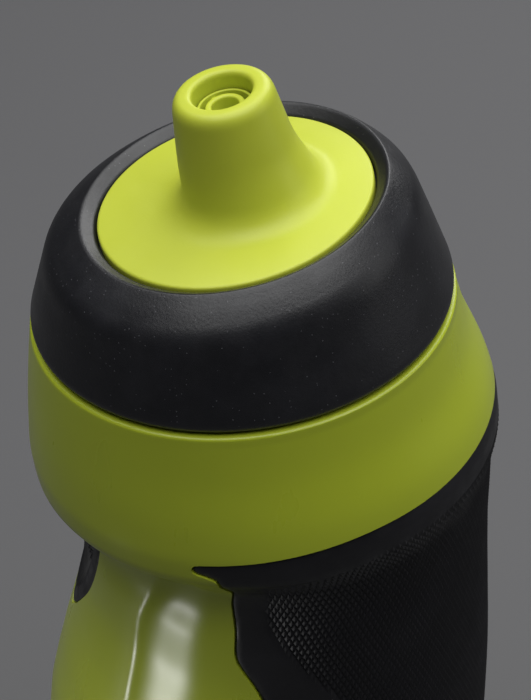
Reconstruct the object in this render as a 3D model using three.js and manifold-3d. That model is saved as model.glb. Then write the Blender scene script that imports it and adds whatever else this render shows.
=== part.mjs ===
// Sports squeeze bottle: a waisted soft bottle with two inlaid rubber grips, a leaning screw cap and a
// drinking spout that holds a slit valve. Millimetres, +Z up, the bottle's front faces -Y, and the origin
// is the centre of the base. Angles go round the bottle from the front, towards +X.
import * as THREE from 'three';
import { mergeVertices } from 'three/addons/utils/BufferGeometryUtils.js';
import Module from 'manifold-3d';

const wasm = await Module();
wasm.setup();

// ---- driving dimensions ----

const SEGMENTS = 48;              // facets round every large round piece
const SMALL_SEGMENTS = 24;        // facets round the valve's pieces
const GAP = 0.3;                  // clearance between pieces that seat on each other

const lower = { radius: 39.5 };                       // full, round lower body
const base = {
  footRadius: lower.radius - 7, footWidth: 4, footSlope: 3, pushUp: 2.6, cornerHeight: 8, cornerInset: 0.5,
};
const neck = { radius: 26.5, wall: 2.4, rise: 9, edge: 0.5, throatFlare: 2 };
const thread = { pitch: 4, depth: 1.4, root: 2.2, crest: 1, turns: 0.92, start: 3.4, clearance: 0.5 };
const threadEnd = { depth: 0.25, reach: 1 / 8 };      // how shallow a thread's end is, and how far it grows
const buried = 0.4;                                   // how deep a rib is rooted in its wall
const skirtBore = neck.radius + thread.depth + thread.clearance;  // the cap's bore over the neck's thread

const cap = {
  bottomRadius: skirtBore + 5.4, edgeRound: 1.2, wall: 1.8, skirtWall: 1.6, channel: 4, edge: 0.5,
  footDraft: 0.9,
};
const head = { height: 196.2, forward: 3.7, lean: 5.8 };  // plane of the cap's lower edge, leaning forward
const lip = { radius: cap.bottomRadius + 0.1, drop: 0.4 };  // top edge of the band, just under the cap
const shoulder = { height: head.height - 24.7, radius: lip.radius + 4.7 };  // widest section of the band
const waist = { height: head.height - 46.2, radius: lip.radius + 0.4, backward: 3.5 };  // narrowest part
const flareFrom = waist.height - 36;                  // below this height the sections may be far apart
const wall = 2.8;                                     // bottle wall, measured across

const palmPad = {
  top: shoulder.height + 3.3, widest: waist.height + 7, bottom: waist.height - 70,
  halfAngle: 105, tuck: 5, roundness: 0.7, droop: 2,
};
const thumbPad = {
  top: waist.height + 10, widest: waist.height + 2, bottom: waist.height - 22,
  halfAngle: 24, tuck: 0, roundness: 0.82, droop: 0,
};
const padThickness = 1.2;
const padShape = {
  tuckReach: 11, tuckPower: 1.5, tipPower: 1.4, droopPower: 8, tipBlunt: 1.2, rowPower: 0.85,
};
const cutterProud = 3;                                // how far a recess's cutter stands out of the form

const crown = { height: neck.rise + 9.9, backward: 0.8, slant: 5.7 };  // the cap's top, over its thread
const capShoulder = {
  radius: cap.bottomRadius - 4.3, height: crown.height - 3.8, backward: -0.2, slant: 4.3, bulge: 0.3,
};
const pocket = { radius: neck.radius - 4.4, depth: 2.7, ledge: 1.7, bore: neck.radius - 6.9, rimDrop: 0.4 };
const capCrease = { radius: pocket.radius + 2.1, rise: 1 };
const gasket = { thickness: 1.2, width: 3.2 };

const dome = { flange: 2.4, barrelWall: 1.6, barrelDepth: 6.6, barrelGap: 0.4, edge: 0.4 };
const snapRing = { height: 1.8, radius: pocket.bore + 2.4 };
const spout = {
  height: 19.9, tipRadius: 7.65, tipRound: 1.7, rootRadius: pocket.radius - 12.3, rootHeight: 5,
  backward: 2.2,
};
const flare = { outer: 4.8, outerRise: 0.8, inner: 2, innerRise: 1.9 };  // from the spout's root to the disc
const valve = {
  seatRadius: spout.tipRadius - 1.65, seatDepth: 4, seatHeight: 7.9, wall: 0.45, ringHeight: 3.4,
  tubeBore: 2.1, tubeRadius: 3.1, tubeDepth: 2.7,
};
const spoutBore = valve.seatRadius - 1.35;            // the opening, narrower than the valve's seat
const seatTop = spout.height - valve.seatDepth;       // top of the valve's seat, over the disc
const spoke = { count: 3, width: 0.9, height: 4.4 };
const membrane = { thickness: 1.3, slit: 0.4, slitLength: valve.seatRadius };
const clampRing = { height: 2.4, bore: valve.seatRadius - 1.8 };

// ---- closed surfaces and booleans ----

const TAU = Math.PI * 2;
const degrees = THREE.MathUtils.degToRad;

/** Volume enclosed by an indexed surface, negative when its faces point in. */
function signedVolume(points, triangles) {
  let six = 0;
  for (let i = 0; i < triangles.length; i += 3) {
    const [a, b, c] = [points[triangles[i]], points[triangles[i + 1]], points[triangles[i + 2]]];
    six += a.dot(new THREE.Vector3().crossVectors(b, c));
  }
  return six / 6;
}

/** An indexed geometry whose faces point out. */
function closedGeometry(points, triangles) {
  if (signedVolume(points, triangles) < 0) triangles.reverse();
  const geometry = new THREE.BufferGeometry().setFromPoints(points);
  geometry.setIndex(triangles);
  return geometry;
}

/** Skins a stack of equal closed rings. The ends close on a point each, or the last ring meets the first. */
function skin(rings, poles = null) {
  const count = rings[0].length;
  const points = rings.flat();
  const triangles = [];
  const bands = poles ? rings.length - 1 : rings.length;
  for (let i = 0; i < bands; i++) {
    const low = i * count;
    const high = ((i + 1) % rings.length) * count;
    for (let j = 0; j < count; j++) {
      const next = (j + 1) % count;
      triangles.push(low + j, low + next, high + next, low + j, high + next, high + j);
    }
  }
  if (poles) {
    const first = points.push(poles[0]) - 1;
    const last = points.push(poles[1]) - 1;
    const top = (rings.length - 1) * count;
    for (let j = 0; j < count; j++) {
      const next = (j + 1) % count;
      triangles.push(first, next, j, last, top + j, top + next);
    }
  }
  return closedGeometry(points, triangles);
}

/** A slab between two sheets of points, both given as a function of a row and a column from 0 to 1. */
function slab(rows, columns, outer, inner) {
  const rings = [];
  for (let i = 0; i <= rows; i++) {
    const ring = [];
    for (let j = 0; j <= columns; j++) ring.push(outer(i / rows, j / columns));
    for (let j = columns; j >= 0; j--) ring.push(inner(i / rows, j / columns));
    rings.push(ring);
  }
  return sweptSolid(rings);
}

/** Skins rings that run from one flat end to the other, both ends closed by strips across the ring. */
function sweptSolid(rings) {
  const count = rings[0].length;
  const points = rings.flat();
  const triangles = [];
  for (let i = 0; i < rings.length - 1; i++) {
    for (let j = 0; j < count; j++) {
      const a = i * count + j;
      const b = i * count + ((j + 1) % count);
      triangles.push(a, b, b + count, a, b + count, a + count);
    }
  }
  for (const [start, flip] of [[0, true], [(rings.length - 1) * count, false]]) {
    for (let j = 0; j < count / 2 - 1; j++) {
      const [a, b] = [start + j, start + j + 1];
      const [c, d] = [start + count - 2 - j, start + count - 1 - j];
      triangles.push(...(flip ? [a, c, b, a, d, c] : [a, b, c, a, c, d]));
    }
  }
  return closedGeometry(points, triangles);
}

/** A manifold solid of a closed geometry, its shared vertices merged. */
function toSolid(geometry) {
  const plain = geometry.clone();
  plain.deleteAttribute('normal');
  plain.deleteAttribute('uv');
  const merged = mergeVertices(plain, 1e-4);
  return new wasm.Manifold(new wasm.Mesh({
    numProp: 3,
    vertProperties: new Float32Array(merged.attributes.position.array),
    triVerts: new Uint32Array(merged.index.array),
  }));
}

/** The geometry of a manifold solid. */
function toGeometry(solid) {
  const mesh = solid.getMesh();
  const geometry = new THREE.BufferGeometry();
  geometry.setAttribute('position', new THREE.BufferAttribute(new Float32Array(mesh.vertProperties), 3));
  geometry.setIndex(new THREE.BufferAttribute(new Uint32Array(mesh.triVerts), 1));
  return geometry;
}

/** A lathe turned about Z from a profile of [radius, height] pairs that closes on itself. */
function turned(profile, segments = SMALL_SEGMENTS) {
  const outline = [...profile, profile[0]].map(([radius, height]) => new THREE.Vector2(radius, height));
  return new THREE.LatheGeometry(outline, segments).rotateX(Math.PI / 2);
}

/** A plain tube about Z. */
function tube(innerRadius, outerRadius, bottom, top, segments) {
  const corners = [[innerRadius, bottom], [outerRadius, bottom], [outerRadius, top], [innerRadius, top]];
  return turned(corners, segments);
}

function box(width, depth, height, x, y, z) {
  return new THREE.BoxGeometry(width, depth, height).translate(x, y, z);
}

// ---- frames ----

/** A point at a radius, an angle from the front and a height in a frame. */
function polar(frame, radius, angle, height, backward = 0) {
  const point = new THREE.Vector3(radius * Math.sin(angle), backward - radius * Math.cos(angle), height);
  return frame ? point.applyMatrix4(frame) : point;
}

/** One ring of points in a frame. */
function ringAt(frame, radius, height, backward = 0) {
  const ring = [];
  for (let j = 0; j < SEGMENTS; j++) ring.push(polar(frame, radius, (TAU * j) / SEGMENTS, height, backward));
  return ring;
}

/** A frame that sits back and up from its parent and leans forward by an angle. */
function leaningFrame(backward, height, lean) {
  return new THREE.Matrix4().makeRotationX(degrees(lean)).setPosition(0, backward, height);
}

const headFrame = leaningFrame(-head.forward, head.height, head.lean);
const crownFrame = leaningFrame(crown.backward, crown.height, crown.slant);

// ---- the bottle's outer form ----

/** Sections from the base corner to the lip: height, radius, how far forward, and the share of the lean. */
function bodySections() {
  const section = (height, radius, forward, lean) => ({ height, radius, forward, lean });
  const flared = (below, share, back, lean) => {
    const radius = waist.radius + share * (lower.radius - waist.radius);
    return section(waist.height - below, radius, -back * waist.backward, lean);
  };
  const banded = (height, share, forward) => {
    const radius = lip.radius + share * (shoulder.radius - lip.radius);
    return section(height, radius, forward * head.forward, 1);
  };
  return [
    section(base.cornerHeight, lower.radius - base.cornerInset, 0, 0),
    section(base.cornerHeight + 22, lower.radius, 0, 0),
    flared(70, 1.04, 0, 0),
    flared(46, 0.96, 0.09, 0),
    flared(30, 0.65, 0.49, 0),
    flared(18, 0.31, 0.83, 0),
    flared(8, 0.08, 0.99, 0.1),
    flared(0, 0, 0.98, 0.39),
    flared(-7, -0.08, 1.08, 0.69),
    section(shoulder.height - 8.5, waist.radius, -0.95 * waist.backward, 0.9),
    section(shoulder.height - 5, shoulder.radius - 2.2, -0.46 * waist.backward, 0.97),
    banded(shoulder.height - 1.5, 0.98, 0.03),
    banded(shoulder.height + 1.5, 0.98, 0.14),
    banded(shoulder.height + 5.5, 0.87, 0.28),
    banded(head.height - 8.2, 0.32, 0.81),
    banded(head.height - 1.5, 0.04, 1),
  ];
}

const sections = bodySections();

/** The slope of a quantity at a section that neither overshoots nor kinks. */
function slopeAt(index, key) {
  const here = sections[index];
  const before = sections[Math.max(index - 1, 0)];
  const after = sections[Math.min(index + 1, sections.length - 1)];
  if (before === here || after === here) return (after[key] - before[key]) / (after.height - before.height);
  const rising = (here[key] - before[key]) / (here.height - before.height);
  const going = (after[key] - here[key]) / (after.height - here.height);
  return rising * going <= 0 ? 0 : (2 * rising * going) / (rising + going);
}

/** Radius, forward shift and lean of the outer form at a height. */
function sectionAt(height) {
  let index = sections.findIndex((section) => section.height >= height);
  index = THREE.MathUtils.clamp(index, 1, sections.length - 1) - 1;
  const [from, to] = [sections[index], sections[index + 1]];
  const span = to.height - from.height;
  const t = THREE.MathUtils.clamp((height - from.height) / span, 0, 1);
  const blend = (key) => {
    const enter = slopeAt(index, key) * span * t * (1 - t) * (1 - t);
    const leave = slopeAt(index + 1, key) * span * t * t * (1 - t);
    return from[key] + (to[key] - from[key]) * t * t * (3 - 2 * t) + enter - leave;
  };
  return { radius: blend('radius'), forward: blend('forward'), lean: blend('lean') * head.lean };
}

/** A point of the outer form, moved out by an offset. */
function onBody(height, angle, offset = 0) {
  const { radius, forward, lean } = sectionAt(height);
  return polar(leaningFrame(-forward, height, lean), radius + offset, angle, 0);
}

/** A whole section of the outer form, moved out by an offset. */
function bodyRing(height, offset = 0) {
  const { radius, forward, lean } = sectionAt(height);
  return ringAt(leaningFrame(-forward, height, lean), radius + offset, 0);
}

/** Evenly spaced heights, the first one left out. */
function heightsBetween(from, to, steps) {
  return Array.from({ length: steps }, (_, i) => from + ((to - from) * (i + 1)) / steps);
}

// ---- screw threads ----

/** A right-hand screw rib about Z, grown from a wall: outwards when the side is 1, inwards when it is -1. */
function screwRib(wallRadius, side, start) {
  const steps = Math.round(SEGMENTS * thread.turns * 0.75);
  const growth = (1 - threadEnd.depth) / threadEnd.reach;
  const rings = [];
  for (let i = 0; i <= steps; i++) {
    const t = i / steps;
    const angle = TAU * thread.turns * t;
    const height = start + thread.pitch * thread.turns * t;
    const depth = thread.depth * Math.min(1, threadEnd.depth + growth * Math.min(t, 1 - t));
    const root = wallRadius - side * buried;
    const crest = wallRadius + side * depth;
    rings.push([
      polar(null, root, angle, height - thread.root / 2),
      polar(null, crest, angle, height - thread.crest / 2),
      polar(null, crest, angle, height + thread.crest / 2),
      polar(null, root, angle, height + thread.root / 2),
    ]);
  }
  return sweptSolid(rings);
}


// ---- the bottle ----

/** Half the angle that a pad covers at a height: widest on one line, narrowing to a round tip below it. */
function halfAngleAt(size, height) {
  const below = Math.max(size.widest - height, 0) / (size.widest - size.bottom);
  const above = Math.min(Math.max(height - size.widest, 0) / padShape.tuckReach, 1);
  const full = size.halfAngle - size.tuck * Math.pow(above, padShape.tuckPower);
  return degrees(full * Math.pow(Math.max(1 - Math.pow(below, padShape.tipPower), 0), size.roundness));
}

/** A pad that follows the bottle's form about a middle angle, between two offsets from that form. */
function pad(size, middle, outer, inner, grow, rows, columns) {
  const lowest = size.bottom + padShape.tipBlunt;
  const spot = (row, column, offset) => {
    const side = 2 * column - 1;
    const top = size.top + grow - size.droop * Math.pow(Math.abs(side), padShape.droopPower);
    const height = top - (top - lowest + grow) * Math.pow(row, padShape.rowPower);
    const half = halfAngleAt(size, Math.max(height, lowest)) + grow / waist.radius;
    return onBody(height, middle + half * side, offset);
  };
  return slab(rows, columns, (r, c) => spot(r, c, outer), (r, c) => spot(r, c, inner));
}

const palmGrip = { size: palmPad, middle: Math.PI, rows: 14, columns: 22 };
const thumbGrip = { size: thumbPad, middle: 0, rows: 8, columns: 8 };

function gripPad({ size, middle, rows, columns }) {
  return pad(size, middle, 0, -padThickness, 0, rows, columns);
}

/** The recess that a grip sits in, a clearance wider and deeper and open to the outside. */
function gripRecess({ size, middle, rows, columns }) {
  return toSolid(pad(size, middle, cutterProud, -padThickness - GAP, GAP, rows, columns));
}

function bottleBody() {
  const innerNeck = neck.radius - neck.wall;
  const corner = [0.25, 0.5, 0.75].map((share) => {
    const turn = (share * Math.PI) / 2;
    const out = lower.radius - base.cornerInset - base.footRadius;
    return ringAt(null, base.footRadius + out * Math.sin(turn), base.cornerHeight * (1 - Math.cos(turn)));
  });
  const rise = heightsBetween(base.cornerHeight, flareFrom, 5);
  const upper = heightsBetween(flareFrom, head.height - 1.5, 19);
  const outside = [
    ringAt(null, base.footRadius - base.footWidth - base.footSlope, base.pushUp * 0.8),
    ringAt(null, base.footRadius - base.footWidth, 0),
    ringAt(null, base.footRadius, 0),
    ...corner,
    bodyRing(base.cornerHeight),
    ...[...rise, ...upper].map((height) => bodyRing(height)),
    ringAt(headFrame, lip.radius - 0.3, -lip.drop - neck.edge),
    ringAt(headFrame, lip.radius - 1.1, -lip.drop),
    ringAt(headFrame, neck.radius + neck.edge, -lip.drop),
    ringAt(headFrame, neck.radius, 0.4),
    ringAt(headFrame, neck.radius, neck.rise - neck.edge),
    ringAt(headFrame, neck.radius - neck.edge, neck.rise),
  ];
  const inside = [
    ringAt(headFrame, innerNeck + 0.4, neck.rise),
    ringAt(headFrame, innerNeck, neck.rise - neck.edge),
    ringAt(headFrame, innerNeck, -lip.drop - wall * 0.6),
    ringAt(headFrame, innerNeck + neck.throatFlare, -lip.drop - wall),
    ...heightsBetween(head.height - 6, flareFrom, 9).map((height) => bodyRing(height, -wall)),
    ...heightsBetween(flareFrom, base.cornerHeight + wall, 3).map((height) => bodyRing(height, -wall)),
    ringAt(null, base.footRadius - 1, wall + 1),
  ];
  const foot = new THREE.Vector3(0, 0, base.pushUp);
  const floor = new THREE.Vector3(0, 0, base.pushUp + wall);
  const shell = toSolid(skin([...outside, ...inside], [foot, floor]));
  const rib = toSolid(screwRib(neck.radius, 1, thread.start).applyMatrix4(headFrame));
  return toGeometry(shell.add(rib).subtract(gripRecess(palmGrip)).subtract(gripRecess(thumbGrip)));
}

// ---- the cap ----

/** A ring of points part of the way from one ring to another, raised by a lift. */
function partWay(from, to, share, lift = 0) {
  return from.map((point, j) => point.clone().lerp(to[j], share).add(new THREE.Vector3(0, 0, lift)));
}

/** The ring that screws on, in the head's frame: a drafted wall, a slanted top and the spout's pocket. */
function capRing() {
  const roof = neck.rise + GAP + gasket.thickness + GAP;
  const foot = cap.bottomRadius - cap.wall;
  const skirt = skirtBore + cap.skirtWall;
  const shoulderFrame = leaningFrame(capShoulder.backward, capShoulder.height, capShoulder.slant);
  const rim = ringAt(shoulderFrame, capShoulder.radius, 0);
  const edge = ringAt(null, cap.bottomRadius, cap.edgeRound);
  const crease = ringAt(crownFrame, capCrease.radius, capCrease.rise);
  const rings = [
    ringAt(null, foot, 0),
    ringAt(null, cap.bottomRadius - cap.edge, 0),
    edge,
    partWay(rim, edge, 0.2),
    partWay(rim, edge, 0.06, 0.05),
    partWay(rim, crease, 0.06, 0.05),
    partWay(rim, crease, 0.3, capShoulder.bulge),
    partWay(rim, crease, 0.7, capShoulder.bulge),
    crease,
    ringAt(crownFrame, pocket.radius, -pocket.rimDrop),
    ringAt(crownFrame, pocket.radius, -pocket.depth),
    ringAt(crownFrame, pocket.bore, -pocket.depth),
    ringAt(crownFrame, pocket.bore, -pocket.depth - pocket.ledge),
    ringAt(crownFrame, snapRing.radius + 0.8, -pocket.depth - pocket.ledge),
    ringAt(null, neck.radius - gasket.width + 0.4, roof, crown.backward / 2),
    ringAt(null, skirtBore, roof),
    ringAt(null, skirtBore, cap.edge),
    ringAt(null, skirtBore + cap.edge, 0),
    ringAt(null, skirt, 0),
    ringAt(null, skirt, cap.channel),
    ringAt(null, foot - cap.footDraft, cap.channel),
  ];
  const ring = toSolid(skin(rings));
  const rib = toSolid(screwRib(skirtBore, -1, thread.start - thread.pitch / 2));
  return toGeometry(ring.add(rib));
}

function capGasket() {
  const bottom = neck.rise + GAP;
  return tube(neck.radius - gasket.width, neck.radius - 0.2, bottom, bottom + gasket.thickness, SEGMENTS);
}

/** The disc and spout in the crown's frame, hollow underneath, with a barrel through the ring's ledge. */
function spoutDome() {
  const edge = pocket.radius - GAP;
  const barrel = pocket.bore - dome.barrelGap;
  const seatBottom = seatTop - valve.seatHeight;
  const at = (radius, height, backward = spout.backward) => ringAt(null, radius, height, backward);
  const taper = (height) => {
    const share = (height - spout.rootHeight) / (spout.height - spout.tipRound - spout.rootHeight);
    return spout.rootRadius + (spout.tipRadius - spout.rootRadius) * share;
  };
  return skin([
    at(barrel, -dome.flange, 0),
    at(edge, -dome.flange, 0),
    at(edge, -dome.edge, 0),
    at(edge - dome.edge, 0, 0),
    at(edge - 3.5, flare.outerRise / 2, 0.2 * spout.backward),
    at(spout.rootRadius + flare.outer, flare.outerRise, 0.9 * spout.backward),
    at(spout.rootRadius + flare.inner, flare.innerRise, 1.25 * spout.backward),
    at(taper(spout.rootHeight), spout.rootHeight),
    at(taper(2 * spout.rootHeight), 2 * spout.rootHeight),
    at(taper(spout.height - spout.tipRound), spout.height - spout.tipRound),
    at(spout.tipRadius - 0.5, spout.height - 0.5),
    at(spout.tipRadius - 1.4, spout.height),
    at(spoutBore + 0.8, spout.height),
    at(spoutBore + 0.2, spout.height - 0.4),
    at(spoutBore, spout.height - 1),
    at(spoutBore, seatTop),
    at(valve.seatRadius, seatTop),
    at(valve.seatRadius, seatBottom),
    at(valve.seatRadius + 1.4, seatBottom - 2.5),
    at(spout.rootRadius - 1.2, 0.8, 0.9 * spout.backward),
    at(barrel - dome.barrelWall, -dome.flange, 0),
    at(barrel - dome.barrelWall, -dome.barrelDepth, 0),
    at(barrel, -dome.barrelDepth, 0),
  ]);
}

/** The ring that snaps on the barrel under the ledge and holds the dome down. */
function domeRetainer() {
  const top = -pocket.depth - pocket.ledge - GAP;
  return tube(pocket.bore - 0.1, snapRing.radius, top - snapRing.height, top, SEGMENTS);
}

// ---- the valve in the spout ----

const valveRadius = valve.seatRadius - GAP;
const membraneTop = seatTop - GAP - valve.ringHeight - GAP;

/** The cage: a stepped ring whose collar stands in the opening, and a centre tube on spokes. */
function valveInsert() {
  const step = seatTop - GAP;
  const bottom = step - valve.ringHeight;
  const rim = spout.height - valve.tubeDepth;
  const collar = spoutBore - GAP;
  const bore = collar - valve.wall;
  const foot = [[bore, bottom], [valveRadius, bottom], [valveRadius, step]];
  const ring = [...foot, [collar, step], [collar, rim], [bore, rim]];
  let solid = toSolid(turned(ring));
  solid = solid.add(toSolid(tube(valve.tubeBore, valve.tubeRadius, bottom, rim)));
  const inner = (valve.tubeBore + valve.tubeRadius) / 2;
  const outer = collar - valve.wall / 2;
  for (let i = 0; i < spoke.count; i++) {
    const middle = (inner + outer) / 2;
    const arm = box(spoke.width, outer - inner, spoke.height, 0, middle, bottom + spoke.height / 2);
    solid = solid.add(toSolid(arm.rotateZ((TAU * i) / spoke.count)));
  }
  return toGeometry(solid);
}

/** The soft slit disc that opens when the bottle is squeezed. */
function valveMembrane() {
  const middle = membraneTop - membrane.thickness / 2;
  const disc = new THREE.CylinderGeometry(valveRadius, valveRadius, membrane.thickness, SMALL_SEGMENTS);
  let solid = toSolid(disc.rotateX(Math.PI / 2).translate(0, 0, middle));
  for (const turn of [0, Math.PI / 2]) {
    const slit = box(membrane.slitLength, membrane.slit, membrane.thickness * 2, 0, 0, middle).rotateZ(turn);
    solid = solid.subtract(toSolid(slit));
  }
  return toGeometry(solid);
}

function valveRetainer() {
  const top = membraneTop - membrane.thickness - GAP;
  return tube(clampRing.bore, valveRadius, top - clampRing.height, top);
}

// ---- materials and assembly ----

const lime = new THREE.MeshStandardMaterial({ color: '#b7c443', roughness: 0.35, metalness: 0 });
const limeSoft = new THREE.MeshStandardMaterial({ color: '#c8d455', roughness: 0.5, metalness: 0 });
const blackPlastic = new THREE.MeshStandardMaterial({ color: '#242429', roughness: 0.5, metalness: 0 });
const blackRubber = new THREE.MeshStandardMaterial({ color: '#1b1b1f', roughness: 0.75, metalness: 0 });
const paleSilicone = new THREE.MeshStandardMaterial({ color: '#dfe3c8', roughness: 0.6, metalness: 0 });

function piece(name, geometry, material) {
  const mesh = new THREE.Mesh(geometry, material);
  mesh.name = name;
  return mesh;
}

const group = new THREE.Group();
group.add(piece('bottle_body', bottleBody(), lime));
group.add(piece('palm_grip', gripPad(palmGrip), blackRubber));
group.add(piece('thumb_grip', gripPad(thumbGrip), blackRubber));

const headGroup = new THREE.Group();
headGroup.position.set(0, -head.forward, head.height);
headGroup.rotation.x = degrees(head.lean);
headGroup.add(piece('cap_ring', capRing(), blackPlastic));
headGroup.add(piece('cap_gasket', capGasket(), paleSilicone));
group.add(headGroup);

const crownGroup = new THREE.Group();
crownGroup.position.set(0, crown.backward, crown.height);
crownGroup.rotation.x = degrees(crown.slant);
crownGroup.add(piece('spout_dome', spoutDome(), limeSoft));
crownGroup.add(piece('dome_retainer', domeRetainer(), blackPlastic));
headGroup.add(crownGroup);

const valveGroup = new THREE.Group();
valveGroup.position.y = spout.backward;
valveGroup.add(piece('valve_insert', valveInsert(), limeSoft));
valveGroup.add(piece('valve_membrane', valveMembrane(), paleSilicone));
valveGroup.add(piece('valve_retainer', valveRetainer(), limeSoft));
crownGroup.add(valveGroup);

export default group;
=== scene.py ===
"""A waisted sports squeeze bottle with inlaid rubber grips, a leaning screw cap and a valved spout."""

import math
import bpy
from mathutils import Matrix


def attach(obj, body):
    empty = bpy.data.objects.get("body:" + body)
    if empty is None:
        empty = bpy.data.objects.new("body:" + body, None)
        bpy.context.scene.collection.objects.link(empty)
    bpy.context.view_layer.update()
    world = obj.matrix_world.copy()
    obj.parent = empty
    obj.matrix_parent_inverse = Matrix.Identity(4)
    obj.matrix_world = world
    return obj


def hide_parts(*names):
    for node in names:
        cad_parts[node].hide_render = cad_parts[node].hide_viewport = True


bl_info = {
    "name": "Sports squeeze bottle",
    "version": (1, 0, 0),
    "blender": (4, 5, 0),
    "location": "View3D > Sidebar > Bottle",
    "description": "Builds the shell, grips, cap and spout of a squeeze bottle, and the stage it stands on",
    "category": "Add Mesh",
}

import bpy
import numpy as np
from bpy.props import FloatProperty, FloatVectorProperty, IntProperty, PointerProperty
from mathutils import Vector

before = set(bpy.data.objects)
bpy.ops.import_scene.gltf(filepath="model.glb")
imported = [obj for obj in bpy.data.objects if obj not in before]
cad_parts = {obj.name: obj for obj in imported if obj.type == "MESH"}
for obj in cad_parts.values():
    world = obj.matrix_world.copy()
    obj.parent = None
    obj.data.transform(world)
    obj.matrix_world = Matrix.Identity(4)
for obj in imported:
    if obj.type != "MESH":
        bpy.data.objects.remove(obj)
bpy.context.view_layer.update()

MM = 0.001
TAU = math.tau
BACK = math.pi           # angle of the middle of the back, counted from the front


# ---- settings ----

def length(name, description, millimetres):
    """A setting given in millimetres and kept in metres."""
    return FloatProperty(name=name, description=description, default=millimetres * MM, unit="LENGTH",
                         precision=4)


def turn(name, description, degrees):
    """A setting given in degrees and kept in radians."""
    return FloatProperty(name=name, description=description, default=math.radians(degrees), unit="ROTATION")


def colour(name, description, red, green, blue):
    return FloatVectorProperty(name=name, description=description, default=(red, green, blue), size=3,
                               min=0, max=1, subtype="COLOR")


class BodySizes(bpy.types.PropertyGroup):
    lower_radius: length("Lower body radius", "Full round part that the hand lifts the bottle by", 39.5)
    waist_radius: length("Waist radius", "Narrow part under the shoulder", 34.3)
    waist_height: length("Waist height", "Height of the narrow part", 150)
    waist_backward: length("Waist set back", "How far the waist sits behind the base", 3.5)
    shoulder_radius: length("Shoulder radius", "Widest part of the band under the cap", 38.6)
    shoulder_height: length("Shoulder height", "Height of the widest part of the band", 171.5)
    lip_radius: length("Lip radius", "Top edge of the band", 33.9)
    head_height: length("Cap height", "Height of the plane that the cap closes on", 196.2)
    head_forward: length("Cap set forward", "How far that plane's centre sits before the base", 3.7)
    head_lean: turn("Cap lean", "Lean of that plane towards the front", 5.8)
    foot_radius: length("Foot radius", "Ring that the bottle stands on", 32.5)
    wall: length("Wall", "Thickness of the squeezable wall", 2.8)
    neck_radius: length("Neck radius", "Outside of the threaded neck", 26.5)
    neck_rise: length("Neck height", "Height of the neck above the lip", 9)
    crease_angle: turn("Crease angle", "Where each side's crease runs, from the front", 44.3)
    crease_swing: turn("Crease swing", "How far the crease swings back on its way up to the band", 18.4)
    crease_rise: length("Crease height", "Height of the fine ridge along the crease", 0.06)
    flute_width: length("Flute width", "Width of the hollow beside the crease", 14)
    flute_depth: length("Flute depth", "Depth of the hollow beside the crease", 0.9)
    segments: IntProperty(name="Segments", description="Facets round the body", default=360, min=24)


class GripSizes(bpy.types.PropertyGroup):
    thickness: length("Grip thickness", "Thickness of the rubber", 1.2)
    clearance: length("Grip clearance", "Gap all round and under the rubber", 0.3)
    cell_width: length("Cell width", "Width of one raised cell of the knurl", 1.05)
    cell_height: length("Cell height", "Height of one raised cell of the knurl", 2.05)
    cell_depth: length("Cell depth", "Depth of the grooves between the cells", 0.4)
    border: length("Smooth border", "Width of the plain rubber along the upper edge", 4.6)
    horn_round: length("Horn rounding", "Radius of the palm grip's blunt upper corners", 0.8)
    horn_reach: length("Horn reach", "How far those corners run out from the nook under them", 3.4)
    nook_depth: length("Nook depth", "How far the palm grip's sides draw in under its corners", 2.7)


class CapSizes(bpy.types.PropertyGroup):
    bottom_radius: length("Cap radius", "Lower edge of the cap", 33.8)
    shoulder_radius: length("Cap shoulder radius", "Edge where the wall turns into the top", 29.5)
    crease_radius: length("Cap rim radius", "Fine edge round the spout's pocket", 24.2)
    pocket_radius: length("Pocket radius", "Recess that the spout's disc lies in", 22.1)
    crown_height: length("Crown height", "Height of the slanted top's centre over the thread's foot", 18.9)
    crown_slant: turn("Crown slant", "Slant of the top over the cap's own lean", 5.7)
    thread_pitch: length("Thread pitch", "Rise of the thread in one turn", 4)
    thread_depth: length("Thread depth", "Height of the thread's rib", 1.4)


class SpoutSizes(bpy.types.PropertyGroup):
    height: length("Spout height", "Height of the spout's rim over the disc", 19.9)
    root_radius: length("Spout root radius", "Radius of the spout just over its flare", 9.8)
    tip_radius: length("Spout tip radius", "Radius of the spout under its rim", 7.65)
    backward: length("Spout set back", "How far the spout sits behind the disc's centre", 2.2)
    bore: length("Spout bore", "Radius of the opening", 4.65)
    seat_radius: length("Valve seat radius", "Radius of the seat that the valve sits in", 6)
    tube_radius: length("Valve tube radius", "Outside of the valve's centre tube", 3.1)
    tube_bore: length("Valve tube bore", "Inside of the valve's centre tube", 2.1)
    spokes: IntProperty(name="Valve spokes", description="Arms that carry the centre tube", default=3, min=2)


class FinishColours(bpy.types.PropertyGroup):
    shell: colour("Bottle", "Soft squeezable plastic", 0.43, 0.51, 0.031)
    spout: colour("Spout", "Harder satin plastic", 0.50, 0.56, 0.046)
    cap: colour("Cap", "Black textured plastic", 0.0085, 0.0087, 0.0108)
    rubber: colour("Grips", "Black rubber", 0.0062, 0.0060, 0.0078)
    silicone: colour("Seals", "Milky silicone", 0.62, 0.66, 0.46)
    floor: colour("Floor", "Plain pale floor", 0.118, 0.118, 0.122)


def sizes(group):
    """The scene's settings of one group."""
    return getattr(bpy.context.scene, "bottle_" + group)


# ---- rings: circles that stand square to the bottle's middle plane ----

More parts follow.
